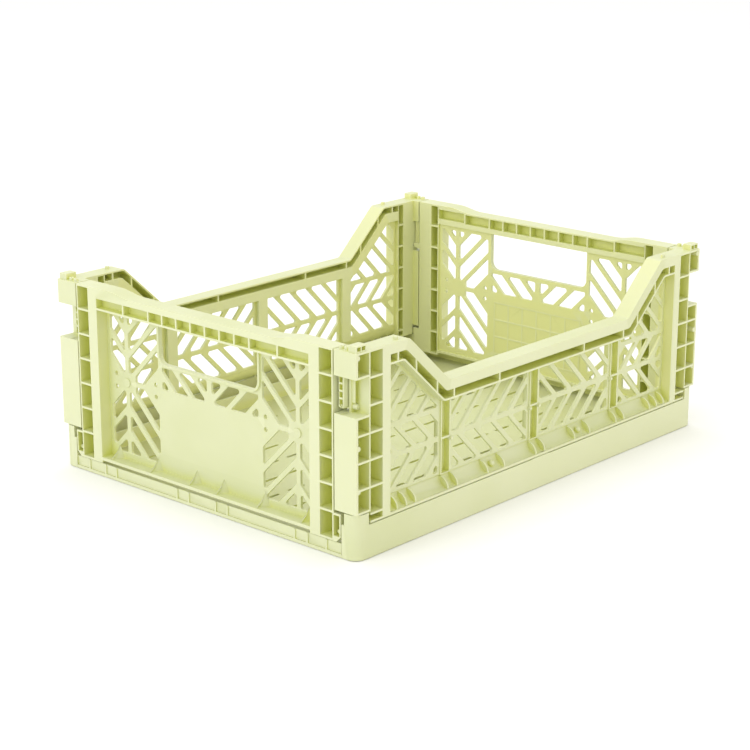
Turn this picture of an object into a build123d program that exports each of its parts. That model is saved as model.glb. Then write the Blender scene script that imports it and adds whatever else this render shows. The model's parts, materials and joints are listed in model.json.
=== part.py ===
"""Folding storage crate: a base and four ribbed walls that stand on hinges at the base.

Millimetres, +Z up. The origin is the middle of the footprint, on the surface that the crate
stands on. X runs along the 400 mm side, Y along the 300 mm side. Everything on the left end
and at the front is drawn once and mirrored to the right end and to the back.
"""
import os
from math import radians, sqrt, tan

from build123d import *

os.makedirs("parts", exist_ok=True)

# Overall size
LENGTH = 400
WIDTH = 300
HEIGHT = 145
X_OUT = LENGTH / 2
Y_OUT = WIDTH / 2

# Wall build: every wall edge is folded sheet, an outward open ladder beside an inward open one
WALL_DEPTH = 14
SKIN = 2
WEB = 1.2
RIB = 1.6
RIB_LEVELS = (31, 50, 69, 88, 107, 126)
PANEL_SKIN = 2.2

# Base
FLOOR_TOP = 4.5
FLOOR_SKIN = 2.0
LONG_SKIRT_TOP = 23.8
END_SKIRT_TOP = 9.8
END_SKIRT_RECESS = 1.0
SKIRT_LIP = 2.5
POST_LENGTH = 13.5
POST_SHOULDER = 24
POST_TOP = 32.4
CORNER_ROUND = 8
POST_NECK_LENGTH = 12.3
POST_NECK_WIDTH = 11.5

# Hinges: a pin on the wall turns in a bore of the base
PIN_RADIUS = 2.5
BORE_RADIUS = 2.55
END_HINGE_X = X_OUT - WALL_DEPTH / 2
END_HINGE_Z = 14
LONG_HINGE_Y = Y_OUT - WALL_DEPTH / 2
LONG_HINGE_Z = 28.5
PIN_REACH = 5

# End wall, half widths measured from the middle
END_HALF = 129
END_LADDER = 116.5
END_STILE = 107
END_BOTTOM = 10.4
END_PANEL_DEPTH = 10
LEDGE_BOTTOM = 12.6
LEDGE_TOP = 15
FOOT_HALF = 135.4
FOOT_TOP = 30.8
FOOT_CHAMFER = 4
RAIL_TOP_SKIN = 1.4
CHANNEL_DEPTH = 6
INNER_CELL = 8
CHANNEL_TOP = 137
CHANNEL_BOTTOM = 130
LIP_BOTTOM = 128.4
RAIL_DIP = 3
DIP_HALF = 70
DIP_RUN = 25
HANDLE_HALF = 50
HANDLE_BOTTOM = 97.5
HANDLE_ROUND = 7
HANDLE_RIM = 2
HANDLE_RIM_HEIGHT = 1.6
GRIP_RIB_PITCH = 14.6
GRIP_RIB_HALF_COUNT = 4
WIDE_RIB_Y = 78
HUB_Y = 87
HUB_Z = 75
HUB_RADIUS = 3.4

# Long wall, half lengths measured from the middle
BLOCK_X = X_OUT - WALL_DEPTH
BLOCK_WIDTH = 20
BLOCK_BOTTOM = 33
WINDOW_BOTTOM = 101
WINDOW_TOP = 127
LONG_LADDER = 174
LONG_STILE = 166
LONG_BOTTOM = 24.6
RAIL_SLOPE = 42
RAIL_HIGH_X = 147.1
RAIL_LOW_X = 104.9
RAIL_LOW_Z = 106.5
BAND = 7.5
CHANNEL = 5.5
LIP = 1.5
RAIL_ROUND = 5
LONG_PANEL_DEPTH = 8.5
PANEL_BOTTOM = 35.4
POST_SPACING = 100
POST_HALF = 5.2
GUTTER_RADIUS = 8.6
SPINE_Z = 62
UPPER_SPINE_Z = 84

# Latch tongue in the corner window
TONGUE_FAR = 135.3
TONGUE_NEAR = 131
TONGUE_BOTTOM = 103.5
TONGUE_TOP = 126.4
TONGUE_OUT = 3.6
TONGUE_DEPTH = 8.4
TONGUE_PIVOT_Y = (TONGUE_FAR + TONGUE_NEAR) / 2
TONGUE_PIVOT_Z = 105.7
TONGUE_PIN = 0.9
TONGUE_BORE = 0.95

# Lattice slots
SLOT_PITCH = 13.4
SLOT_BAR = 3.6
SLOT_ROUND = 1.8
SMALLEST_SLOT = 14

# Corner lug and pegs that locate a crate stacked on top
LUG_HEIGHT = 4.5
LUG_LENGTH = 10.5
LUG_WIDTH = 7.5


def slab(x, y, z, mode=Mode.ADD):
    """A box between two values along each axis."""
    with Locations(((x[0] + x[1]) / 2, (y[0] + y[1]) / 2, (z[0] + z[1]) / 2)):
        Box(x[1] - x[0], y[1] - y[0], z[1] - z[0], mode=mode)


def cells(bottom, top, levels):
    """The clear heights between the ribs of a ladder."""
    edges = [bottom] + [level for level in levels if bottom < level < top] + [top]
    return [
        (low + (RIB if low == bottom else RIB / 2), high - (RIB if high == top else RIB / 2))
        for low, high in zip(edges, edges[1:])
    ]


def clip(outline, normal, limit):
    """The part of a convex outline where the product with the normal is at most the limit."""
    kept = []
    for here, there in zip(outline, outline[1:] + outline[:1]):
        a = here[0] * normal[0] + here[1] * normal[1] - limit
        b = there[0] * normal[0] + there[1] * normal[1] - limit
        if a <= 0:
            kept.append(here)
        if a * b < 0:
            share = a / (a - b)
            kept.append(tuple(p + share * (q - p) for p, q in zip(here, there)))
    return kept


def area(outline):
    """The area inside an outline."""
    pairs = zip(outline, outline[1:] + outline[:1])
    return abs(sum(p[0] * q[1] - q[0] * p[1] for p, q in pairs)) / 2


def slanted_slots(window, lean, start=0.0):
    """Slots at 45 degrees that fill a convex window, leaving straight bars between them.

    lean is +1 where the slots rise towards larger first values, and -1 where they fall. start
    is the first value at which a bar's middle line crosses zero height.
    """
    half = SLOT_BAR / 2
    across = (1 / sqrt(2), -lean / sqrt(2))
    reach = [p[0] * across[0] + p[1] * across[1] for p in window]
    offset = start * across[0]
    first = int((min(reach) - offset) // SLOT_PITCH)
    last = int((max(reach) - offset) // SLOT_PITCH)
    outlines = []
    for step in range(first, last + 1):
        low = offset + step * SLOT_PITCH + half
        high = offset + (step + 1) * SLOT_PITCH - half
        slot = clip(clip(window, across, high), (-across[0], -across[1]), -low)
        if len(slot) > 2 and area(slot) > SMALLEST_SLOT:
            outlines.append(tidy(slot))
    return outlines


def tidy(outline):
    """The outline without points that sit almost on the one before."""
    kept = []
    for point in outline:
        if all(sqrt((point[0] - p[0]) ** 2 + (point[1] - p[1]) ** 2) > 1.0 for p in kept):
            kept.append(point)
    return kept


def slot_faces(outlines):
    """Rounded slot shapes, for a sketch in the panel's own plane."""
    for outline in outlines:
        sides = zip(outline, outline[1:] + outline[:1])
        shortest = min(sqrt((p[0] - q[0]) ** 2 + (p[1] - q[1]) ** 2) for p, q in sides)
        with BuildSketch(mode=Mode.PRIVATE) as slot:
            Polygon(*outline, align=None)
            fillet(slot.vertices(), radius=min(SLOT_ROUND, shortest * 0.22))
        add(slot.sketch)


def rectangle(first, second):
    """The four corners of an upright rectangle."""
    return [(first[0], second[0]), (first[1], second[0]), (first[1], second[1]), (first[0], second[1])]


def turned_to(part, right, back):
    """The part drawn at the left front, mirrored to the right end or to the back."""
    if right:
        part = part.mirror(Plane.YZ)
    if back:
        part = part.mirror(Plane.XZ)
    return part


def hand_over(part, name):
    """Label one finished piece and write it."""
    part.label = name
    export_step(part, f"parts/{name}.step")


# ---------------------------------------------------------------- base

DRAIN_ROWS = 9
DRAIN_COLUMNS = 13
DRAIN_LENGTH = 17
DRAIN_WIDTH = 2.6
DRAIN_PITCH_X = 26
DRAIN_PITCH_Y = 26
FLOOR_RIB_PITCH = 52
END_FLOOR_REACH = X_OUT - END_SKIRT_RECESS - RIB
FLOOR_HALF = Y_OUT - WALL_DEPTH

with BuildPart() as base_floor:
    slab((-END_FLOOR_REACH, END_FLOOR_REACH), (-FLOOR_HALF, FLOOR_HALF),
         (FLOOR_TOP - FLOOR_SKIN, FLOOR_TOP))
    with BuildSketch(Plane.XY.offset(FLOOR_TOP)):
        with GridLocations(DRAIN_PITCH_X, DRAIN_PITCH_Y, DRAIN_COLUMNS, DRAIN_ROWS):
            SlotOverall(DRAIN_LENGTH, DRAIN_WIDTH)
    extrude(amount=-FLOOR_SKIN, mode=Mode.SUBTRACT)
    with BuildSketch(Plane.XY):
        with GridLocations(FLOOR_RIB_PITCH, 1, 7, 1):
            Rectangle(RIB, 2 * FLOOR_HALF)
        with GridLocations(1, FLOOR_RIB_PITCH, 1, 5):
            Rectangle(2 * END_FLOOR_REACH, RIB)
    extrude(amount=FLOOR_TOP - FLOOR_SKIN)
hand_over(base_floor.part, "base_floor")

RISER_TOP = 18
STEP_HALF = 10
STEP_HEIGHT = 0.4
SKIRT_REACH = X_OUT - POST_LENGTH

with BuildPart() as front_skirt:
    slab((-SKIRT_REACH, SKIRT_REACH), (-Y_OUT, -Y_OUT + SKIN), (0, LONG_SKIRT_TOP))
    slab((-STEP_HALF, STEP_HALF), (-Y_OUT, -Y_OUT + SKIN),
         (LONG_SKIRT_TOP, LONG_SKIRT_TOP + STEP_HEIGHT))
    # bottom flange, and the inner riser that the folded end walls pass
    slab((-SKIRT_REACH, SKIRT_REACH), (-Y_OUT + SKIN, -FLOOR_HALF), (0, FLOOR_TOP - FLOOR_SKIN))
    slab((-SKIRT_REACH, SKIRT_REACH), (-FLOOR_HALF - SKIN, -FLOOR_HALF), (0, RISER_TOP))
for back, name in ((False, "base_front_skirt"), (True, "base_back_skirt")):
    hand_over(turned_to(front_skirt.part, False, back), name)

SKIRT_RIB_Y = (14, 26, 92, 104, 122)
END_SKIRT_HALF = Y_OUT - WALL_DEPTH

with BuildPart() as left_skirt:
    slab((-X_OUT + END_SKIRT_RECESS, -END_FLOOR_REACH), (-END_SKIRT_HALF, END_SKIRT_HALF),
         (0, END_SKIRT_TOP))
    slab((-X_OUT, -X_OUT + END_SKIRT_RECESS), (-END_SKIRT_HALF, END_SKIRT_HALF), (0, SKIRT_LIP))
    for rib_y in SKIRT_RIB_Y:
        for side in (-1, 1):
            slab((-X_OUT, -X_OUT + END_SKIRT_RECESS),
                 (side * rib_y - RIB / 2, side * rib_y + RIB / 2), (SKIRT_LIP, END_SKIRT_TOP))
for right, name in ((False, "base_left_skirt"), (True, "base_right_skirt")):
    hand_over(turned_to(left_skirt.part, right, False), name)

with BuildPart() as corner_post:
    slab((-X_OUT, -X_OUT + POST_LENGTH), (-Y_OUT, -Y_OUT + WALL_DEPTH), (0, POST_SHOULDER))
    slab((-X_OUT, -X_OUT + POST_NECK_LENGTH), (-Y_OUT, -Y_OUT + POST_NECK_WIDTH),
         (POST_SHOULDER, POST_TOP))
    fillet(corner_post.edges().filter_by(Axis.Z).group_by(Axis.X)[0].group_by(Axis.Y)[0],
           radius=CORNER_ROUND)
    # bore for the end wall's pin, then the bore for the long wall's pin
    with Locations(Plane((-END_HINGE_X, -Y_OUT + WALL_DEPTH, END_HINGE_Z), z_dir=(0, 1, 0))):
        Hole(BORE_RADIUS, depth=PIN_REACH + 2)
    with Locations(Plane((-X_OUT + POST_NECK_LENGTH, -LONG_HINGE_Y, LONG_HINGE_Z), z_dir=(1, 0, 0))):
        Hole(BORE_RADIUS, depth=PIN_REACH + 2)
for right, end in ((False, "left"), (True, "right")):
    for back, side in ((False, "front"), (True, "back")):
        hand_over(turned_to(corner_post.part, right, back), f"base_{side}_{end}_post")

# ---------------------------------------------------------------- end walls

END_X = (-X_OUT, -X_OUT + WALL_DEPTH)
END_OUTER = (-X_OUT, -X_OUT + WALL_DEPTH - SKIN)
END_INNER = (-X_OUT + SKIN, -X_OUT + WALL_DEPTH)
FOOT_KNOB_RADIUS = 1.5

with BuildPart() as end_column:
    slab(END_X, (-END_HALF, -END_STILE), (END_BOTTOM, HEIGHT))
    slab(END_X, (-FOOT_HALF, -END_HALF), (END_BOTTOM, FOOT_TOP))
    foot_edge = end_column.edges().filter_by(Axis.X).group_by(Axis.Z)[0].sort_by(Axis.Y)[0]
    chamfer(foot_edge, length=FOOT_CHAMFER)
    for z in cells(END_BOTTOM, HEIGHT, RIB_LEVELS):
        slab(END_OUTER, (-END_HALF + WEB, -END_LADDER), z, mode=Mode.SUBTRACT)
        slab(END_INNER, (-END_LADDER + WEB, -END_STILE - WEB), z, mode=Mode.SUBTRACT)
    slab(END_OUTER, (-FOOT_HALF + WEB, -END_HALF), (END_BOTTOM + FOOT_CHAMFER, FOOT_TOP - RIB),
         mode=Mode.SUBTRACT)
    # round knob in the foot, and the hinge pin on its outer side
    with Locations(Location((END_OUTER[1], -END_HALF - 3.2, END_BOTTOM + 7), (0, -90, 0))):
        Cylinder(FOOT_KNOB_RADIUS, WALL_DEPTH - 4, align=(Align.CENTER, Align.CENTER, Align.MIN))
    with Locations(Location((-END_HINGE_X, -FOOT_HALF, END_HINGE_Z), (90, 0, 0))):
        Cylinder(PIN_RADIUS, PIN_REACH, align=(Align.CENTER, Align.CENTER, Align.MIN))
    # cheek and pin that carry the latch tongue
    slab((END_X[1] - WEB, END_X[1]), (-TONGUE_FAR, -END_HALF + WEB),
         (TONGUE_PIVOT_Z - 2.1, TONGUE_PIVOT_Z + 2.1))
    with Locations(Location((END_X[1] - WEB, -TONGUE_PIVOT_Y, TONGUE_PIVOT_Z), (0, -90, 0))):
        Cylinder(TONGUE_PIN, TONGUE_DEPTH, align=(Align.CENTER, Align.CENTER, Align.MIN))

GRIP_RIBS = [GRIP_RIB_PITCH * (step + 0.5) for step in range(GRIP_RIB_HALF_COUNT)] + [WIDE_RIB_Y]
RAIL_RIBS = sorted([-y for y in GRIP_RIBS] + GRIP_RIBS)


def dip(y):
    """How far the end rail's top lies below the rim at this place along it."""
    share = min(1, max(0, (DIP_HALF + DIP_RUN - abs(y)) / DIP_RUN))
    return RAIL_DIP * share * share * (3 - 2 * share)


with BuildPart() as end_rail:
    with BuildSketch(Plane.YZ.offset(-X_OUT)):
        with BuildLine():
            low, high = (-END_STILE, LIP_BOTTOM), (END_STILE, LIP_BOTTOM)
            rim_right, rim_left = (END_STILE, HEIGHT), (-END_STILE, HEIGHT)
            far, near = DIP_HALF + DIP_RUN, DIP_HALF
            Polyline(rim_left, low, high, rim_right, (far, HEIGHT))
            Spline((far, HEIGHT), (near, HEIGHT - RAIL_DIP), tangents=((-1, 0), (-1, 0)))
            Line((near, HEIGHT - RAIL_DIP), (-near, HEIGHT - RAIL_DIP))
            Spline((-near, HEIGHT - RAIL_DIP), (-far, HEIGHT), tangents=((-1, 0), (-1, 0)))
            Line((-far, HEIGHT), rim_left)
        make_face()
    extrude(amount=WALL_DEPTH)
    stops = [-END_STILE] + RAIL_RIBS + [END_STILE]
    for left, right in zip(stops, stops[1:]):
        y = (left + (RIB / 2 if left > -END_STILE else 0), right - (RIB / 2 if right < END_STILE else 0))
        slab((-X_OUT, -X_OUT + CHANNEL_DEPTH), y, (CHANNEL_BOTTOM, CHANNEL_TOP), mode=Mode.SUBTRACT)
        roof = HEIGHT - max(dip(left), dip(right)) - RAIL_TOP_SKIN
        slab((-X_OUT + CHANNEL_DEPTH + RIB, -X_OUT + WALL_DEPTH), y, (roof - INNER_CELL, roof),
             mode=Mode.SUBTRACT)

PANEL_FACE_X = -X_OUT + END_PANEL_DEPTH
WIDE_SIDE = 53
NARROW_SIDE = 104
HERRING_TOP = 94
HERRING_BOTTOM = 77.5
LATTICE_TOP = 125
LATTICE_BOTTOM = 20
SPINE_HALF = 1.9
ARM_SLOT_END = 9
EYE_RADIUS = 1.7


def snowflake():
    """The slots of one end lattice: four fans of slots around a hub, each with one under its arm."""
    outlines = []
    for near, far, toward in ((HUB_Y - SPINE_HALF, WIDE_SIDE, -1), (HUB_Y + SPINE_HALF, NARROW_SIDE, 1)):
        span = (min(near, far), max(near, far))
        for low, high, upward in ((HUB_Z, LATTICE_TOP, 1), (LATTICE_BOTTOM, HUB_Z, -1)):
            window = rectangle(span, (low, high))
            lean = toward * upward
            start = HUB_Y - lean * HUB_Z
            # the fan is what lies above the arm that leaves the hub at 45 degrees
            arm = (toward / sqrt(2), -upward / sqrt(2))
            limit = arm[0] * HUB_Y + arm[1] * HUB_Z
            outlines += slanted_slots(clip(window, arm, limit), lean, start)
            if toward < 0:
                # one more slot under the arm, which stops short of the hub and of the level line
                under = clip(window, (-arm[0], -arm[1]), -limit - SLOT_BAR / 2)
                under = clip(under, arm, limit + SLOT_PITCH - SLOT_BAR / 2)
                under = clip(under, (1, 0), HUB_Y - ARM_SLOT_END)
                outlines.append(tidy(clip(under, (0, -upward), -upward * HUB_Z - SLOT_BAR / 2)))
    return outlines


# Small round eyes on both sides of the hub
EYES = ((WIDE_SIDE + 3, HUB_Z - 4.6), (WIDE_SIDE + 3, HUB_Z + 4.6), (HUB_Y + 12, HUB_Z - 5),
        (HUB_Y + 12, HUB_Z + 5))


def herringbone_under_handle():
    """The slots between the handle and the plain field, on one side of the middle."""
    window = rectangle((SPINE_HALF + 0.5, HANDLE_HALF - 1), (HERRING_BOTTOM, HERRING_TOP))
    return slanted_slots(window, 1, -HERRING_BOTTOM)


with BuildPart() as end_panel:
    with BuildSketch(Plane.YZ.offset(PANEL_FACE_X)) as face:
        Polygon(*rectangle((-END_STILE, END_STILE), (LEDGE_TOP, LIP_BOTTOM)), align=None)
        with BuildSketch(mode=Mode.PRIVATE) as handle:
            Polygon(*rectangle((-HANDLE_HALF, HANDLE_HALF), (HANDLE_BOTTOM, LIP_BOTTOM)), align=None)
            fillet(handle.vertices().group_by(Axis.Y)[0], radius=HANDLE_ROUND)
        add(handle.sketch, mode=Mode.SUBTRACT)
        with BuildSketch(mode=Mode.PRIVATE) as slots:
            slot_faces(snowflake())
            slot_faces(herringbone_under_handle())
            with Locations(*EYES):
                Circle(EYE_RADIUS)
        add(slots.sketch, mode=Mode.SUBTRACT)
        add(slots.sketch.mirror(Plane.YZ), mode=Mode.SUBTRACT)
    extrude(amount=PANEL_SKIN)
    # raised rim round the grip hole
    with BuildSketch(Plane.YZ.offset(PANEL_FACE_X)):
        with BuildSketch(mode=Mode.PRIVATE) as rim:
            Polygon(*rectangle((-HANDLE_HALF - HANDLE_RIM, HANDLE_HALF + HANDLE_RIM),
                               (HANDLE_BOTTOM - HANDLE_RIM, LIP_BOTTOM)), align=None)
            fillet(rim.vertices().group_by(Axis.Y)[0], radius=HANDLE_ROUND + HANDLE_RIM)
        add(rim.sketch)
        add(handle.sketch, mode=Mode.SUBTRACT)
    extrude(amount=-HANDLE_RIM_HEIGHT)
    # hubs
    with BuildSketch(Plane.YZ.offset(PANEL_FACE_X + PANEL_SKIN)):
        with Locations((HUB_Y, HUB_Z), (-HUB_Y, HUB_Z)):
            Circle(HUB_RADIUS)
    extrude(amount=-PANEL_SKIN - 1)

TENT_Y = (14, 55, 97.5)
TENT_HEIGHT = 9
TENT_HALF = 4.6
TENT_REACH = 7.5
TENT_PEAK = 0.4
TENT_FIN = 1.2


def tent_outline(half, reach):
    """A triangle on the panel's outer face, for the foot or for the peak of a tent."""
    Polygon((PANEL_FACE_X, -half), (PANEL_FACE_X, half), (PANEL_FACE_X - reach, 0), align=None)


with BuildPart() as end_ledge:
    slab(END_X, (-END_STILE, END_STILE), (LEDGE_BOTTOM, LEDGE_TOP))
    # solid tents that brace the panel on the ledge, each with a low fin out to the edge
    for tent_y in [side * y for y in TENT_Y for side in (-1, 1)]:
        with BuildSketch(Plane((0, tent_y, LEDGE_TOP))):
            tent_outline(TENT_HALF, TENT_REACH)
        with BuildSketch(Plane((0, tent_y, LEDGE_TOP + TENT_HEIGHT))):
            tent_outline(TENT_PEAK, TENT_PEAK)
        loft()
        with BuildSketch(Plane.XZ.offset(-tent_y + TENT_FIN / 2)):
            Polygon((-X_OUT + 0.6, LEDGE_TOP), (PANEL_FACE_X, LEDGE_TOP),
                    (PANEL_FACE_X, LEDGE_TOP + TENT_HEIGHT - 2), align=None)
        extrude(amount=-TENT_FIN)

for right, end in ((False, "left"), (True, "right")):
    for back, side in ((False, "front"), (True, "back")):
        hand_over(turned_to(end_column.part, right, back), f"{end}_wall_{side}_column")
    hand_over(turned_to(end_rail.part, right, False), f"{end}_wall_rail")
    hand_over(turned_to(end_panel.part, right, False), f"{end}_wall_panel")
    hand_over(turned_to(end_ledge.part, right, False), f"{end}_wall_ledge")

# ---------------------------------------------------------------- latch tongues

POCKET = (2.8, 3.8)
POCKET_DEPTH = 3
POCKET_COUNT = 4
POCKET_PITCH = 5.2

with BuildPart() as tongue:
    tongue_x = (-X_OUT + TONGUE_OUT, -X_OUT + TONGUE_OUT + TONGUE_DEPTH)
    slab(tongue_x, (-TONGUE_FAR, -TONGUE_NEAR), (TONGUE_BOTTOM, TONGUE_TOP))
    fillet(tongue.edges().filter_by(Axis.Z).group_by(Axis.Y)[0].sort_by(Axis.X)[0], radius=1.0)
    fillet(tongue.edges().filter_by(Axis.X).group_by(Axis.Z)[0], radius=1.9)
    with BuildSketch(Plane.YZ.offset(tongue_x[0])):
        with Locations((-TONGUE_PIVOT_Y + 0.15, (TONGUE_BOTTOM + TONGUE_TOP) / 2 + 1)):
            with GridLocations(1, POCKET_PITCH, 1, POCKET_COUNT):
                Rectangle(*POCKET)
    extrude(amount=POCKET_DEPTH, mode=Mode.SUBTRACT)
    with Locations(Location((0, -TONGUE_PIVOT_Y, TONGUE_PIVOT_Z), (0, 90, 0))):
        Cylinder(TONGUE_BORE, 2 * LENGTH, mode=Mode.SUBTRACT)
for right, end in ((False, "left"), (True, "right")):
    for back, side in ((False, "front"), (True, "back")):
        hand_over(turned_to(tongue.part, right, back), f"{end}_{side}_latch_tongue")

# ---------------------------------------------------------------- long walls

LONG_Y = (-Y_OUT, -Y_OUT + WALL_DEPTH)
LONG_OUTER = (-Y_OUT, -Y_OUT + WALL_DEPTH - SKIN)
LONG_INNER = (-Y_OUT + SKIN, -Y_OUT + WALL_DEPTH)
MID_WEB = BLOCK_X + WEB
PEG_RADIUS = 1.7
PEG_HEIGHT = 2.2

with BuildPart() as long_column:
    slab((-BLOCK_X, -LONG_STILE), LONG_Y, (LONG_BOTTOM, HEIGHT))
    slab((-X_OUT, -BLOCK_X), (-Y_OUT, -Y_OUT + BLOCK_WIDTH), (BLOCK_BOTTOM, HEIGHT))
    # the outward open ladder beside the block, and the inward open one behind the stile
    for z in cells(LONG_BOTTOM, HEIGHT, RIB_LEVELS):
        slab((-BLOCK_X, -LONG_LADDER), LONG_OUTER, z, mode=Mode.SUBTRACT)
        slab((-LONG_LADDER + WEB, -LONG_STILE - WEB), LONG_INNER, z, mode=Mode.SUBTRACT)
    # cells in the face of the corner block, below and above the window
    for z in cells(BLOCK_BOTTOM, WINDOW_BOTTOM, RIB_LEVELS) + cells(WINDOW_TOP, HEIGHT, ()):
        slab((-X_OUT + SKIN, -MID_WEB), LONG_OUTER, z, mode=Mode.SUBTRACT)
    # the window for the latch tongue cuts both faces of the block
    slab((-X_OUT, -MID_WEB), (-Y_OUT, LONG_OUTER[1]), (WINDOW_BOTTOM, WINDOW_TOP), mode=Mode.SUBTRACT)
    slab((-X_OUT, -BLOCK_X), (LONG_Y[1], -Y_OUT + BLOCK_WIDTH), (WINDOW_BOTTOM, WINDOW_TOP),
         mode=Mode.SUBTRACT)
    # hollow return, open downwards
    for z in ((BLOCK_BOTTOM, WINDOW_BOTTOM - SKIN), (WINDOW_TOP, HEIGHT - SKIN)):
        slab((-X_OUT + SKIN, -BLOCK_X - SKIN), (LONG_Y[1], -Y_OUT + BLOCK_WIDTH - RIB), z,
             mode=Mode.SUBTRACT)
    # hinge pin
    with Locations(Location((-BLOCK_X, -LONG_HINGE_Y, LONG_HINGE_Z), (0, -90, 0))):
        Cylinder(PIN_RADIUS, PIN_REACH, align=(Align.CENTER, Align.CENTER, Align.MIN))
    # stacking lug with two pockets, and pegs
    lug_x = (-X_OUT + 1, -X_OUT + 1 + LUG_LENGTH)
    lug_y = (-Y_OUT + 1, -Y_OUT + 1 + LUG_WIDTH)
    slab(lug_x, lug_y, (HEIGHT, HEIGHT + LUG_HEIGHT))
    fillet(long_column.edges().filter_by(Axis.Z).filter_by_position(
        Axis.Z, HEIGHT + 0.1, HEIGHT + LUG_HEIGHT), radius=1)
    for start in (lug_x[0] + 1.4, lug_x[0] + LUG_LENGTH / 2 + 0.5):
        slab((start, start + LUG_LENGTH / 2 - 1.9), (lug_y[0], lug_y[0] + 3),
             (HEIGHT + 0.8, HEIGHT + LUG_HEIGHT - 1), mode=Mode.SUBTRACT)
    with BuildSketch(Plane.XY.offset(HEIGHT)):
        with Locations((-X_OUT + 4, -Y_OUT + 11.5), (-X_OUT + 4, -Y_OUT + 16.5)):
            Circle(PEG_RADIUS)
            Circle(0.6, mode=Mode.SUBTRACT)
    extrude(amount=PEG_HEIGHT)

HALF_SLOPE = tan(radians(RAIL_SLOPE / 2))
RAIL_PEG_X = 156
RAIL_FULL = BAND + CHANNEL + LIP


def rail_line(depth):
    """The rail's run at this depth below its top, from the stile down to the middle."""
    return [
        (-LONG_STILE, HEIGHT - depth),
        (-RAIL_HIGH_X - depth * HALF_SLOPE, HEIGHT - depth),
        (-RAIL_LOW_X - depth * HALF_SLOPE, RAIL_LOW_Z - depth),
        (0, RAIL_LOW_Z - depth),
    ]


def rail_band(top, bottom):
    """The face between two depths below the rail's top, with its bends rounded."""
    with BuildLine() as loop:
        upper = FilletPolyline(*rail_line(top), radius=RAIL_ROUND)
        lower = FilletPolyline(*rail_line(bottom), radius=RAIL_ROUND)
        Line(upper @ 0, lower @ 0)
        Line(upper @ 1, lower @ 1)
    make_face(loop.edges())


SLOPE_RIBS = (-158.5, -140, -118)
LOW_RIBS = (-100, -50)

with BuildPart() as half_rail:
    with BuildSketch(Plane.XZ.offset(Y_OUT)):
        rail_band(0, RAIL_FULL)
    extrude(amount=-WALL_DEPTH)
    with BuildSketch(Plane.XZ.offset(Y_OUT)):
        rail_band(BAND, BAND + CHANNEL)
        with Locations(*[(x, HEIGHT - 25) for x in SLOPE_RIBS + LOW_RIBS]):
            Rectangle(RIB, HEIGHT, mode=Mode.SUBTRACT)
    extrude(amount=-WALL_DEPTH + SKIN, mode=Mode.SUBTRACT)
    with BuildSketch(Plane.XZ.offset(Y_OUT - WALL_DEPTH)):
        rail_band(RAIL_TOP_SKIN, BAND - WEB)
        with Locations(*[(x, HEIGHT - 25) for x in SLOPE_RIBS + LOW_RIBS]):
            Rectangle(RIB, HEIGHT, mode=Mode.SUBTRACT)
    extrude(amount=WALL_DEPTH - SKIN, mode=Mode.SUBTRACT)
    with Locations((-RAIL_PEG_X, -Y_OUT + 5, HEIGHT)):
        Cylinder(PEG_RADIUS, PEG_HEIGHT, align=(Align.CENTER, Align.CENTER, Align.MIN))

SPLIT_X = POST_SPACING + POST_HALF

with BuildPart() as slope_rail:
    add(half_rail.part)
    slab((-SPLIT_X, 1), (-WIDTH, 0), (0, 2 * HEIGHT), mode=Mode.SUBTRACT)

with BuildPart() as low_rail:
    add(half_rail.part)
    slab((-LENGTH, -SPLIT_X), (-WIDTH, 0), (0, 2 * HEIGHT), mode=Mode.SUBTRACT)
    mirror(about=Plane.YZ)

PANEL_Y = Y_OUT - LONG_PANEL_DEPTH
SLOT_EDGE = 2.2


def post(middle, top):
    """A channel shaped post between two lattice sections, flush with the wall's inner face."""
    slab((middle - POST_HALF, middle + POST_HALF), (-PANEL_Y - 1, LONG_Y[1]), (PANEL_BOTTOM, top))
    for z in ((PANEL_BOTTOM, SPINE_Z), (SPINE_Z, top)):
        slab((middle - POST_HALF + WEB, middle + POST_HALF - WEB), (-PANEL_Y - 1, LONG_Y[1] - RIB),
             (z[0] + RIB / 2, z[1] - (RIB / 2 if z[1] == SPINE_Z else 0)), mode=Mode.SUBTRACT)


with BuildPart() as middle_panel:
    lip_low = RAIL_LOW_Z - RAIL_FULL
    with BuildSketch(Plane.XZ.offset(PANEL_Y)):
        Polygon(*rectangle((-SPLIT_X, SPLIT_X), (PANEL_BOTTOM, lip_low)), align=None)
        with BuildSketch(mode=Mode.PRIVATE) as slots:
            span = (-POST_SPACING + POST_HALF + SLOT_EDGE, -POST_HALF - SLOT_EDGE)
            spine = SLOT_BAR / 2
            slot_faces(slanted_slots(rectangle(span, (SPINE_Z + spine, lip_low - 1)), 1, -166))
            slot_faces(slanted_slots(rectangle(span, (PANEL_BOTTOM + 2, SPINE_Z - spine)), -1, -42))
        add(slots.sketch, mode=Mode.SUBTRACT)
        add(slots.sketch.mirror(Plane.YZ), mode=Mode.SUBTRACT)
    extrude(amount=-PANEL_SKIN)
    for middle in (-POST_SPACING, 0, POST_SPACING):
        post(middle, lip_low)

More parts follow.
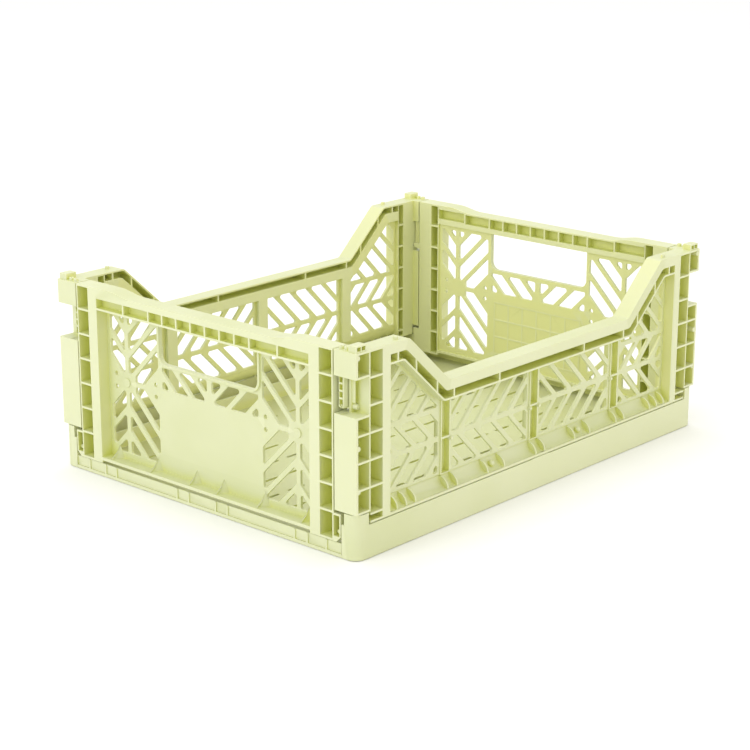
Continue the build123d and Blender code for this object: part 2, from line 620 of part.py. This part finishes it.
with BuildPart() as outer_panel:
    lip_line = rail_line(RAIL_FULL)
    with BuildSketch(Plane.XZ.offset(PANEL_Y)):
        with BuildLine():
            lower_lip = FilletPolyline(*lip_line, radius=RAIL_ROUND)
            Polyline(lower_lip @ 0, (-LONG_STILE, PANEL_BOTTOM), (0, PANEL_BOTTOM), lower_lip @ 1)
        make_face()
        Polygon(*rectangle((-SPLIT_X, 1), (0, HEIGHT)), align=None, mode=Mode.SUBTRACT)
        with BuildSketch(mode=Mode.PRIVATE) as slots:
            span = (-LONG_STILE + SLOT_EDGE, -SPLIT_X - SLOT_EDGE)
            spine = SLOT_BAR / 2
            slot_faces(slanted_slots(rectangle(span, (PANEL_BOTTOM + 2, SPINE_Z - spine)), 1, -193))
            slot_faces(slanted_slots(rectangle(span, (SPINE_Z + spine, UPPER_SPINE_Z - spine)), -1, -68))
            top = rectangle(span, (UPPER_SPINE_Z + spine, HEIGHT))
            rise, run = HEIGHT - RAIL_LOW_Z, RAIL_HIGH_X - RAIL_LOW_X
            length = sqrt(rise * rise + run * run)
            normal = (rise / length, run / length)
            bend = lip_line[2]
            top = clip(top, normal, bend[0] * normal[0] + bend[1] * normal[1] - SLOT_EDGE)
            top = clip(top, (0, 1), lip_line[0][1] - SLOT_EDGE)
            slot_faces(slanted_slots(top, 1, -193))
        add(slots.sketch, mode=Mode.SUBTRACT)
    extrude(amount=-PANEL_SKIN)

STILE_FINS = (-158.5, -149, -139.5)
MIDWAY_FINS = (-61, -42)
FIN = 1.4
BALL_X = -51.5
BALL_RADIUS = 2.2
FIN_X = STILE_FINS + MIDWAY_FINS + (-POST_SPACING - POST_HALF, -POST_SPACING + POST_HALF, -POST_HALF)

with BuildPart() as hinge_rail:
    # concave gutter from the foot of the panels out to the skirt
    with BuildSketch(Plane.YZ.offset(-LONG_STILE)):
        with BuildLine():
            outer = CenterArc((-Y_OUT, PANEL_BOTTOM), GUTTER_RADIUS + PANEL_SKIN, -90, 90)
            inner = CenterArc((-Y_OUT, PANEL_BOTTOM), GUTTER_RADIUS, -90, 90)
            Line(outer @ 0, inner @ 0)
            Line(outer @ 1, inner @ 1)
        make_face()
    extrude(amount=LONG_STILE)
    # hinge fins, each a quarter disc
    for fin_x in FIN_X:
        with BuildSketch(Plane.YZ.offset(fin_x - FIN / 2)):
            with BuildLine():
                curve = CenterArc((-PANEL_Y, PANEL_BOTTOM - GUTTER_RADIUS), GUTTER_RADIUS - 0.3, 90, 90)
                Polyline(curve @ 1, (-PANEL_Y, PANEL_BOTTOM - GUTTER_RADIUS), curve @ 0)
            make_face()
        extrude(amount=FIN)
    with Locations((BALL_X, -Y_OUT + 5.2, PANEL_BOTTOM - 4.6)):
        Sphere(BALL_RADIUS)
    mirror(about=Plane.YZ)

for back, side in ((False, "front"), (True, "back")):
    for right, end in ((False, "left"), (True, "right")):
        hand_over(turned_to(long_column.part, right, back), f"{side}_wall_{end}_column")
        hand_over(turned_to(slope_rail.part, right, back), f"{side}_wall_{end}_rail")
        hand_over(turned_to(outer_panel.part, right, back), f"{side}_wall_{end}_panel")
    hand_over(turned_to(low_rail.part, False, back), f"{side}_wall_middle_rail")
    hand_over(turned_to(middle_panel.part, False, back), f"{side}_wall_middle_panel")
    hand_over(turned_to(hinge_rail.part, False, back), f"{side}_wall_hinge_rail")
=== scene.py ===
# %% [markdown]
# # A folding storage crate
# The crate is five big mouldings: a low tray and four walls that stand on hinges along its edges.
# Their shapes come from the CAD model, so this lesson starts by loading them. What it adds is
# everything that a drawing leaves out: the soft moulded edges, the small knobs and ribs that the
# mould leaves behind, the plastic itself, and the light of a studio.

# %% Load the mouldings
import json
from math import cos, radians, sin

import bmesh
import bpy
from mathutils import Matrix, Vector

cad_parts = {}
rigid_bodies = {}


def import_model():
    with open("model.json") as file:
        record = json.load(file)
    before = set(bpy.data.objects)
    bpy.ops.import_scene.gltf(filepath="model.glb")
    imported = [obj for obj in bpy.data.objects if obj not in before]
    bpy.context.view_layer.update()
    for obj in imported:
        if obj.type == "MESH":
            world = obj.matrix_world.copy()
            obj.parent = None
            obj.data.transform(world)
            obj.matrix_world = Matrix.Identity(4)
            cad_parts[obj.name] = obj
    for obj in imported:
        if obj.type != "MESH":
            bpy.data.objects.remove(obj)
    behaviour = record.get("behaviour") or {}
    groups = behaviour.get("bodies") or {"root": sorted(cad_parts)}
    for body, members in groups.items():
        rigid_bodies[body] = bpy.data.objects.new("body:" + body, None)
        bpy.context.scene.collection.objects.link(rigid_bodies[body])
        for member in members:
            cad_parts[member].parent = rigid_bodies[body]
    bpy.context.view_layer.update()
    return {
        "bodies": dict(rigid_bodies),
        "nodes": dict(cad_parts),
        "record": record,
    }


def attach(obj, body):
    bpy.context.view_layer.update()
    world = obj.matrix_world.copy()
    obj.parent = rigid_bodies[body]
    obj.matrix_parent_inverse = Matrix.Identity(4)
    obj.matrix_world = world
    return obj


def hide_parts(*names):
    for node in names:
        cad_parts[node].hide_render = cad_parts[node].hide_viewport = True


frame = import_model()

MM = 0.001

# %% [markdown]
# ## The camera
# A product camera stands well back and uses a long lens, so that the far end of the crate isn't
# much smaller than the near end. It looks down by about 17 degrees, over the near corner. The
# direction is given as two angles, and `to_track_quat` turns the camera so that it looks along it.

# %% Place the camera
CAMERA_PLACE = Vector((-1.1257, -0.9997, 0.5120))
CAMERA_HEADING = 0.7329
CAMERA_DROP = 0.2943
LENS_MM = 97.3
SENSOR_MM = 36

looking = Vector((cos(CAMERA_DROP) * cos(CAMERA_HEADING), cos(CAMERA_DROP) * sin(CAMERA_HEADING),
                  -sin(CAMERA_DROP)))
camera = bpy.data.objects.new("camera", bpy.data.cameras.new("camera"))
camera.location = CAMERA_PLACE
camera.rotation_mode = "QUATERNION"
camera.rotation_quaternion = looking.to_track_quat("-Z", "Y")
camera.data.lens = LENS_MM
camera.data.sensor_width = SENSOR_MM
camera.data.clip_start, camera.data.clip_end = 0.05, 60
bpy.context.scene.collection.objects.link(camera)
bpy.context.scene.camera = camera
print("camera distance to the crate:", round(CAMERA_PLACE.length, 3), "m")

# %% [markdown]
# ## One helper for every material
# A material is a small net of nodes. Writing each one out takes many lines, so one function adds a
# node, sets what it is told, and joins its inputs. Colours are picked as sRGB hex values, as in any
# paint program, but the shader adds light in linear numbers, so one more function converts them.

# %% Colour and node helpers
def linear(hex_colour):
    """An sRGB hex colour as linear red, green, blue and full alpha."""
    parts = [int(hex_colour[i:i + 2], 16) / 255 for i in (0, 2, 4)]
    return tuple(p / 12.92 if p <= 0.04045 else ((p + 0.055) / 1.055) ** 2.4 for p in parts) + (1.0,)


def add_node(tree, kind, settings=None, **inputs):
    """A new node. Settings are its own properties, and inputs are values or the sockets to join.

    An input is given by its name, or as _1 for the input at place 1 where names repeat.
    """
    node = tree.nodes.new(kind)
    for name, value in (settings or {}).items():
        setattr(node, name, value)
    for name, value in inputs.items():
        key = int(name[1:]) if name[1:].isdigit() else name.replace("_", " ")
        socket = node.inputs[key]
        if isinstance(value, bpy.types.NodeSocket):
            tree.links.new(value, socket)
        else:
            socket.default_value = value
    return node


# %% [markdown]
# ## The floor
# The crate stands on a seamless sheet of white paper. A wide plane is enough, because it is so
# bright that its far edge melts into the backdrop, which is the world's own white.

# %% Lay the paper floor
FLOOR_HALF_WIDTH = 14.0
FLOOR_DROP = 0.0004

floor_shape = bmesh.new()
bmesh.ops.create_grid(floor_shape, x_segments=1, y_segments=1, size=FLOOR_HALF_WIDTH,
                      matrix=Matrix.Translation((0, 0, -FLOOR_DROP)))
floor_mesh = bpy.data.meshes.new("paper_floor")
floor_shape.to_mesh(floor_mesh)
floor_shape.free()
floor = bpy.data.objects.new("paper_floor", floor_mesh)
bpy.context.scene.collection.objects.link(floor)

paper = bpy.data.materials.new("white_background_paper")
paper.use_nodes = True
paper_nodes = paper.node_tree
paper_shader = paper_nodes.nodes["Principled BSDF"]
paper_shader.inputs["Base Color"].default_value = linear("f6f6f4")
paper_shader.inputs["Roughness"].default_value = 0.9
paper_shader.inputs["Specular IOR Level"].default_value = 0.2
floor.data.materials.append(paper)
print("floor laid, half width", FLOOR_HALF_WIDTH, "m")

# %% [markdown]
# ## The light
# A studio shot of a pale object uses big soft lights, so that no shadow has a hard edge. One
# softbox stands on the left and fills the end of the crate, a weaker one lights the long side,
# a third hangs overhead, and the white room does the rest. The view transform is Standard,
# because a product picture keeps its whites white.

# %% Hang the softboxes
def softbox(name, place, aim, size, watts, tint):
    """A square area light of this size in metres, turned from its place towards the aim."""
    lamp = bpy.data.lights.new(name, "AREA")
    lamp.shape, lamp.size, lamp.energy, lamp.color = "SQUARE", size, watts, tint
    holder = bpy.data.objects.new(name, lamp)
    holder.location = place
    holder.rotation_mode = "QUATERNION"
    holder.rotation_quaternion = (Vector(aim) - Vector(place)).to_track_quat("-Z", "Y")
    bpy.context.scene.collection.objects.link(holder)
    return holder


CRATE_MIDDLE = (0, 0, 0.06)
SIDE_BOX, TOP_BOX = 1.6, 2.2
COOL, WARM, NEUTRAL = (0.94, 0.94, 1.0), (1, 0.82, 0.76), (1, 0.975, 0.94)
softbox("left_softbox", (-2.7, 0.4, 1.5), CRATE_MIDDLE, SIDE_BOX, 20, COOL)
softbox("front_softbox", (0.6, -2.8, 1.6), CRATE_MIDDLE, SIDE_BOX, 9.5, WARM)
softbox("top_softbox", (0.2, 0.5, 3.0), CRATE_MIDDLE, TOP_BOX, 24, NEUTRAL)

room = bpy.data.worlds.new("white_room")
room.use_nodes = True
room.node_tree.nodes["Background"].inputs["Color"].default_value = (1, 1, 1, 1)
room.node_tree.nodes["Background"].inputs["Strength"].default_value = 1.0
bpy.context.scene.world = room
bpy.context.scene.view_settings.view_transform = "Standard"
bpy.context.scene.view_settings.look = "None"

# %% [markdown]
# ## Moulded polypropylene
# The whole crate is one material: **polypropylene**, coloured pistachio right through and pressed
# into a steel mould. Polypropylene has an index of refraction near 1.49 and is a little milky, so
# light that enters a thin rib comes out of its other side. Subsurface scattering with a reach of a
# few millimetres does that. The mould was spark eroded, which leaves a fine grain that makes the
# gloss soft. The real grain is about 0.05 mm; it is drawn at 0.5 mm so that it can show. The melt
# flows through a big moulding for seconds and leaves wide, faint bands of lighter and darker
# colour, about 60 mm apart. Convex edges are painted a little paler, a painted highlight. The faces
# that look into the crate are painted a lighter, yellower green, painted light that stands for light
# bounced inside the crate. They are found by comparing the way a face looks with the way to the
# crate's middle, both in the moulding's own coordinates. Deep between ribs a stronger green is
# painted as painted shade, and the floor gets a painted shadow along the walls. Both of these are
# found by ambient occlusion, which asks how much open space a point can see.

# %% Make the plastic
PISTACHIO = "d0d4a6"
PISTACHIO_DEEP = "cbd09c"
# a paler colour for convex edges: a painted highlight
PISTACHIO_PAINTED_EDGE_HIGHLIGHT = "dde0b8"
# the stronger green of the hollows between ribs: a painted shade
PISTACHIO_PAINTED_HOLLOW_SHADE = "d8dc7c"
# a lighter, yellower green for faces that look into the crate: painted light for light bounced inside
# it
PISTACHIO_PAINTED_INWARD_LIGHT = "dedf9a"
# the darker colour of the floor along the walls: a painted shadow
PISTACHIO_PAINTED_FLOOR_SHADOW = "bdc088"
FLOOR_SHADOW_REACH = 0.11
FLOOR_TOP_Z = 0.0045
HOLLOW_SHADE_REACH = 0.014
POLYPROPYLENE_IOR = 1.49
GLOSS = 0.42
GLOSS_SPREAD = 0.05
GRAIN_MM = 0.5
FLOW_MM = 60
MOTTLE_MM = 9


def moulded_polypropylene(name, body_colour, deep_colour, edge_highlight_colour, hollow_shade_colour,
                          inward_light_colour, gloss):
    """Pistachio polypropylene, with flow bands, a spark eroded grain and painted highlight, shade and
    light.
    """
    material = bpy.data.materials.new(name)
    material.use_nodes = True
    tree = material.node_tree
    where = add_node(tree, "ShaderNodeTexCoord")
    place = where.outputs["Object"]
    flow = add_node(tree, "ShaderNodeTexNoise", Vector=place, Scale=1000 / FLOW_MM, Detail=2.0,
                    Roughness=0.45, Distortion=0.6)
    mottle = add_node(tree, "ShaderNodeTexNoise", Vector=place, Scale=1000 / MOTTLE_MM, Detail=3.0)
    bands = add_node(tree, "ShaderNodeMapRange", Value=flow.outputs["Fac"],
                     **{"_1": 0.35, "_2": 0.65, "_3": 0.0, "_4": 1.0})
    body = add_node(tree, "ShaderNodeMix", {"data_type": "RGBA"}, Factor=bands.outputs["Result"],
                    _6=linear(body_colour), _7=linear(deep_colour))
    # how far outwards a face looks: its normal times its place in plan, in metres
    in_plan = add_node(tree, "ShaderNodeVectorMath", {"operation": "MULTIPLY"},
                       _0=place, _1=(1, 1, 0))
    outward = add_node(tree, "ShaderNodeVectorMath", {"operation": "DOT_PRODUCT"},
                       _0=in_plan.outputs["Vector"], _1=where.outputs["Normal"])
    inside = add_node(tree, "ShaderNodeMapRange", Value=outward.outputs["Value"],
                      **{"_1": -0.05, "_2": -0.14, "_3": 0.0, "_4": 1.0})
    # faces that look into the crate get a painted light, a lighter and yellower green
    inward_lit = add_node(tree, "ShaderNodeMix", {"data_type": "RGBA"}, Factor=inside.outputs["Result"],
                     _6=body.outputs[2], _7=linear(inward_light_colour))
    # convex edges read above one half, flat faces at one half; convex edges get a paler colour, a
    # painted highlight
    edge = add_node(tree, "ShaderNodeMapRange",
                    Value=add_node(tree, "ShaderNodeNewGeometry").outputs["Pointiness"],
                    **{"_1": 0.51, "_2": 0.58, "_3": 0.0, "_4": 0.55})
    edge_highlighted = add_node(tree, "ShaderNodeMix", {"data_type": "RGBA"}, Factor=edge.outputs["Result"],
                      _6=inward_lit.outputs[2], _7=linear(edge_highlight_colour))
    grain = add_node(tree, "ShaderNodeTexNoise", Vector=place, Scale=1000 / GRAIN_MM, Detail=2.0)
    bump = add_node(tree, "ShaderNodeBump", Strength=0.12, Distance=0.00006,
                    Height=grain.outputs["Fac"])
    sheen = add_node(tree, "ShaderNodeMapRange", Value=mottle.outputs["Fac"],
                     **{"_1": 0.3, "_2": 0.7, "_3": gloss - GLOSS_SPREAD, "_4": gloss + GLOSS_SPREAD})
    # deep between ribs the plastic only sees itself: a stronger green is painted there, a painted
    # shade that stands for light bounced between the ribs
    openness = add_node(tree, "ShaderNodeAmbientOcclusion", {"samples": 8, "only_local": True},
                        Distance=HOLLOW_SHADE_REACH)
    unshaded_open = add_node(tree, "ShaderNodeMapRange", Value=openness.outputs["AO"],
                        **{"_1": 0.3, "_2": 0.7, "_3": 0.0, "_4": 1.0})
    skin = add_node(tree, "ShaderNodeMix", {"data_type": "RGBA"}, Factor=unshaded_open.outputs["Result"],
                    _6=linear(hollow_shade_colour), _7=edge_highlighted.outputs[2])
    # a painted shadow on the floor along the walls: upward faces as low as the floor, where little
    # sky is seen
    sky = add_node(tree, "ShaderNodeAmbientOcclusion", {"samples": 8}, Distance=FLOOR_SHADOW_REACH)
    cover = add_node(tree, "ShaderNodeMapRange", Value=sky.outputs["AO"],
                     **{"_1": 0.95, "_2": 0.55, "_3": 0.0, "_4": 1.0})
    low = add_node(tree, "ShaderNodeMapRange", **{
        "Value": add_node(tree, "ShaderNodeSeparateXYZ", Vector=place).outputs["Z"],
        "_1": FLOOR_TOP_Z + 0.0006, "_2": FLOOR_TOP_Z + 0.0002, "_3": 0.0, "_4": 1.0})
    upward = add_node(tree, "ShaderNodeMapRange", **{
        "Value": add_node(tree, "ShaderNodeSeparateXYZ", Vector=where.outputs["Normal"]).outputs["Z"],
        "_1": 0.5, "_2": 0.9, "_3": 0.0, "_4": 1.0})
    low_upward = add_node(tree, "ShaderNodeMath", {"operation": "MULTIPLY"},
                          _0=low.outputs["Result"], _1=upward.outputs["Result"])
    floor_shadow = add_node(tree, "ShaderNodeMath", {"operation": "MULTIPLY"},
                    _0=low_upward.outputs["Value"], _1=cover.outputs["Result"])
    floor_shadowed = add_node(tree, "ShaderNodeMix", {"data_type": "RGBA"}, Factor=floor_shadow.outputs["Value"],
                     _6=skin.outputs[2], _7=linear(PISTACHIO_PAINTED_FLOOR_SHADOW))
    shader = tree.nodes["Principled BSDF"]
    tree.links.new(floor_shadowed.outputs[2], shader.inputs["Base Color"])
    tree.links.new(sheen.outputs["Result"], shader.inputs["Roughness"])
    tree.links.new(bump.outputs["Normal"], shader.inputs["Normal"])
    shader.inputs["IOR"].default_value = POLYPROPYLENE_IOR
    shader.inputs["Specular IOR Level"].default_value = 0.9
    shader.inputs["Subsurface Weight"].default_value = 0.12
    shader.inputs["Subsurface Radius"].default_value = (1.0, 1.0, 0.45)
    shader.inputs["Subsurface Scale"].default_value = 0.0015
    return material


pistachio_plastic = moulded_polypropylene(
    "moulded_polypropylene_pistachio", PISTACHIO, PISTACHIO_DEEP, PISTACHIO_PAINTED_EDGE_HIGHLIGHT,
    PISTACHIO_PAINTED_HOLLOW_SHADE, PISTACHIO_PAINTED_INWARD_LIGHT, GLOSS)
print("plastic:", pistachio_plastic.name)

# %% [markdown]
# ## Solids that a mould leaves behind
# Close up, a moulding is covered in small solids: round bosses where ejector pins push it out of
# the steel, low ribs that stiffen a flat field, a bar that guards the latch. Each is made from the
# nearest simple shape, a cone or a cube, and is pushed a little way into the wall behind it, so
# that no gap shows between the two. Positions are given in millimetres for the back right corner,
# and a pair of signs turns them to the other three.

# %% Small solids from simple shapes
def new_solid(name, shape):
    """A bmesh made into an object, with its faces turned outwards."""
    bmesh.ops.recalc_face_normals(shape, faces=shape.faces)
    mesh = bpy.data.meshes.new(name)
    shape.to_mesh(mesh)
    shape.free()
    solid = bpy.data.objects.new(name, mesh)
    bpy.context.scene.collection.objects.link(solid)
    return solid


def round_boss(name, start, end, radius, tip=None, sides=20):
    """A round bar between two points in millimetres, narrowing to the tip radius if one is given."""
    start, end = Vector(start) * MM, Vector(end) * MM
    along = end - start
    shape = bmesh.new()
    turn = along.to_track_quat("Z", "Y").to_matrix().to_4x4()
    bmesh.ops.create_cone(shape, cap_ends=True, segments=sides, radius1=radius * MM,
                          radius2=(radius if tip is None else tip) * MM, depth=along.length,
                          matrix=Matrix.Translation((start + end) / 2) @ turn)
    return new_solid(name, shape)


def block(name, low, high):
    """A box between two corners in millimetres, whichever way round they are."""
    low, high = Vector(low) * MM, Vector(high) * MM
    size = Matrix.Diagonal([abs(h - l) for l, h in zip(low, high)]).to_4x4()
    shape = bmesh.new()
    bmesh.ops.create_cube(shape, size=1, matrix=Matrix.Translation((low + high) / 2) @ size)
    return new_solid(name, shape)


print("two shapes ready: round boss, block")

# %% [markdown]
# ## What goes on the end walls
# On the inside, the plain field of each end panel is stiffened by a grid of squares, so low that
# it shows only in raking light. It could be a bump in the material, but a real ridge is as easy.

# %% Grid of an end wall
PANEL_BACK = 187.8
GRID_COLUMNS = (-45, -30, -15, 0, 15, 30, 45)
GRID_ROWS = (24, 39, 54, 69)
GRID_HEIGHT = 0.45
GRID_ROOT = 0.6
GRID_HALF = 0.7


def end_wall_details(sx):
    """The small solids of the end wall on this side: -1 is the left end, 1 the right."""
    root, top = sx * (PANEL_BACK + GRID_ROOT), sx * (PANEL_BACK - GRID_HEIGHT)
    made = [block(f"grid_column_{y}", (root, y - GRID_HALF, GRID_ROWS[0]),
                  (top, y + GRID_HALF, GRID_ROWS[-1])) for y in GRID_COLUMNS]
    made += [block(f"grid_row_{z}", (root, GRID_COLUMNS[0] - GRID_HALF, z - GRID_HALF),
                   (top, GRID_COLUMNS[-1] + GRID_HALF, z + GRID_HALF)) for z in GRID_ROWS]
    return made


print(len(GRID_COLUMNS) + len(GRID_ROWS), "grid ribs on each end wall")

# %% [markdown]
# ## What goes on the long walls
# The window in each corner block shows the latch tongue. The block's skin is cut back beside the
# tongue, so that a finger can reach its flank, and further in stand a thin rib and a boss. Round
# ejector bosses sit against the skin of the corner block, and one on each post of the lattice.

# %% Bosses and latch window of a long wall
BLOCK_BOSSES = ((197.4, 49.3), (197.4, 79.3), (197.6, 141.4))
BLOCK_BOSS_Y, BLOCK_BOSS_RADIUS = (137.2, 149.8), 1.9
POST_BOSSES, POST_BOSS_Z, POST_BOSS_Y = (94.8, 5.2), 60.5, (141, 144.2)
POST_BOSS_RADIUS, POST_BOSS_TIP = 1.7, 1.2
GUARD_BOSS_X, GUARD_BOSS_Z, GUARD_BOSS_Y = 188.4, 104.6, (137, 141.4)
GUARD_BOSS_RADIUS, GUARD_BOSS_TIP = 2.5, 1.8
GUARD_RIB_LOW, GUARD_RIB_HIGH = (190.9, 137, 107.6), (190.1, 140.6, 124)
FLANK_LOW, FLANK_HIGH = (191.9, 135.6, 101), (200.5, 138.4, 127)


def turned(place, sx, sy):
    """A place in the back right quarter, turned to another quarter by a pair of signs."""
    x, y, z = place
    return (sx * x, sy * y, z)


def guard_ribs(sy):
    """The thin rib beside each latch tongue of the long wall on this side: -1 front, 1 back."""
    return [block(f"guard_rib_{sx}", turned(GUARD_RIB_LOW, sx, sy), turned(GUARD_RIB_HIGH, sx, sy))
            for sx in (-1, 1)]


def long_wall_bosses(sy):
    """The round bosses of the long wall on this side."""
    bosses = [("guard_boss", GUARD_BOSS_X, GUARD_BOSS_Z, GUARD_BOSS_Y, GUARD_BOSS_RADIUS,
               GUARD_BOSS_TIP)]
    bosses += [("block_boss", x, z, BLOCK_BOSS_Y, BLOCK_BOSS_RADIUS, None) for x, z in BLOCK_BOSSES]
    bosses += [("post_boss", x, POST_BOSS_Z, POST_BOSS_Y, POST_BOSS_RADIUS, POST_BOSS_TIP)
               for x in POST_BOSSES]
    return [round_boss(name, turned((x, ends[0], z), sx, sy), turned((x, ends[1], z), sx, sy),
                       radius, tip=tip)
            for sx in (-1, 1) for name, x, z, ends, radius, tip in bosses]


def flank_cuts(sy):
    """The two blocks that clear the skin beside the latch tongues of this long wall."""
    return [block(f"flank_cut_{sx}", turned(FLANK_LOW, sx, sy), turned(FLANK_HIGH, sx, sy))
            for sx in (-1, 1)]


print("bosses on each long wall:", 2 * (1 + len(BLOCK_BOSSES) + len(POST_BOSSES)))

# %% [markdown]
# ## Join each moulding into one skin
# The CAD keeps every wall as several solids that touch, because collision shapes need simple
# pieces. On the real crate there is no seam between a corner column and its rail, so here each
# body's solids, grids and guard ribs are joined by a union. The round bosses stay separate
# solids, sunk into the wall. The Manifold solver is quick and exact, but it wants closed solids:
# a CAD mesh comes as loose triangles, so a copy of it is merged first.

# %% Union of one body's solids
JOIN_GAP = 0.001 * MM


def closed_copy(node):
    """A merged copy of a CAD node's mesh, as an object."""
    shape = bmesh.new()
    shape.from_mesh(frame["nodes"][node].data)
    bmesh.ops.remove_doubles(shape, verts=shape.verts, dist=JOIN_GAP)
    mesh = bpy.data.meshes.new(node + "_copy")
    shape.to_mesh(mesh)
    shape.free()
    copy = bpy.data.objects.new(node + "_copy", mesh)
    bpy.context.scene.collection.objects.link(copy)
    return copy


def join_moulding(body, details=(), cuts=()):
    """One piece that stands for all of a body's CAD nodes, with solids joined on and cut away."""
    nodes = frame["record"]["behaviour"]["bodies"][body]
    parts = [closed_copy(node) for node in nodes] + list(details)
    whole = parts[0]
    for operation, solids in (("UNION", parts[1:]), ("DIFFERENCE", cuts)):
        for solid in solids:
            join = whole.modifiers.new("join", "BOOLEAN")
            join.operation, join.solver, join.object = operation, "MANIFOLD", solid
    evaluated = whole.evaluated_get(bpy.context.evaluated_depsgraph_get())
    joined = bpy.data.meshes.new_from_object(evaluated)
    shape = bmesh.new()
    shape.from_mesh(joined)
    for face in shape.faces:
        face.smooth = True
    mesh = bpy.data.meshes.new(body + "_moulding")
    shape.to_mesh(mesh)
    shape.free()
    for part in parts + list(cuts):
        bpy.data.objects.remove(part)
    moulding = bpy.data.objects.new(body + "_moulding", mesh)
    bpy.context.scene.collection.objects.link(moulding)
    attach(moulding, body)
    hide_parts(*nodes)
    return moulding


def gather(name, body, solids):
    """Small solids as one piece that rides on a body. They sit in its surface and need no union."""
    shape = bmesh.new()
    for solid in solids:
        shape.from_mesh(solid.data)
        bpy.data.objects.remove(solid)
    for face in shape.faces:
        face.smooth = True
    piece = new_solid(name, shape)
    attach(piece, body)
    return piece


mouldings = {body: join_moulding(body) for body in frame["bodies"] if "wall" not in body}
mouldings["left_wall"] = join_moulding("left_wall", end_wall_details(-1))
mouldings["right_wall"] = join_moulding("right_wall", end_wall_details(1))
mouldings["front_wall"] = join_moulding("front_wall", guard_ribs(-1), flank_cuts(-1))
mouldings["back_wall"] = join_moulding("back_wall", guard_ribs(1), flank_cuts(1))
mouldings["front_bosses"] = gather("front_wall_bosses", "front_wall", long_wall_bosses(-1))
mouldings["back_bosses"] = gather("back_wall_bosses", "back_wall", long_wall_bosses(1))
for label, piece in mouldings.items():
    print(label, "has", len(piece.data.polygons), "faces")

# %% [markdown]
# ## Soften the moulded edges
# No moulded edge is perfectly sharp: the steel has a small radius everywhere, and that radius
# catches the light as a thin bright line. Modelling it on every rib by hand would take days. A
# Bevel modifier rounds every edge that turns by more than 40 degrees. The thinnest ribs are
# 1.2 mm, so a width of 0.25 mm leaves their middles flat. A union leaves a few very short edges.
# The modifier's overlap clamp would shrink every bevel to suit the shortest, so it is off, and so
# is its sliding along edges, which would draw some corners out into long thin triangles.

# %% Round the edges and give the finish
EDGE_RADIUS = 0.25 * MM
EDGE_TURN = radians(40)
FLAT_FACE_WEIGHT = 80

for piece in mouldings.values():
    piece.data.materials.append(pistachio_plastic)
    bevel = piece.modifiers.new("mould_radius", "BEVEL")
    bevel.width, bevel.segments = EDGE_RADIUS, 2
    bevel.limit_method, bevel.angle_limit = "ANGLE", EDGE_TURN
    bevel.face_strength_mode = "FSTR_ALL"
    bevel.use_clamp_overlap = False
    bevel.loop_slide = False
    # the flat faces rule the shading, and the narrow bevels follow them
    steady = piece.modifiers.new("flat_faces_rule", "WEIGHTED_NORMAL")
    steady.mode, steady.weight = "FACE_AREA", FLAT_FACE_WEIGHT
    steady.use_face_influence = True
print("rounded", len(mouldings), "pieces")
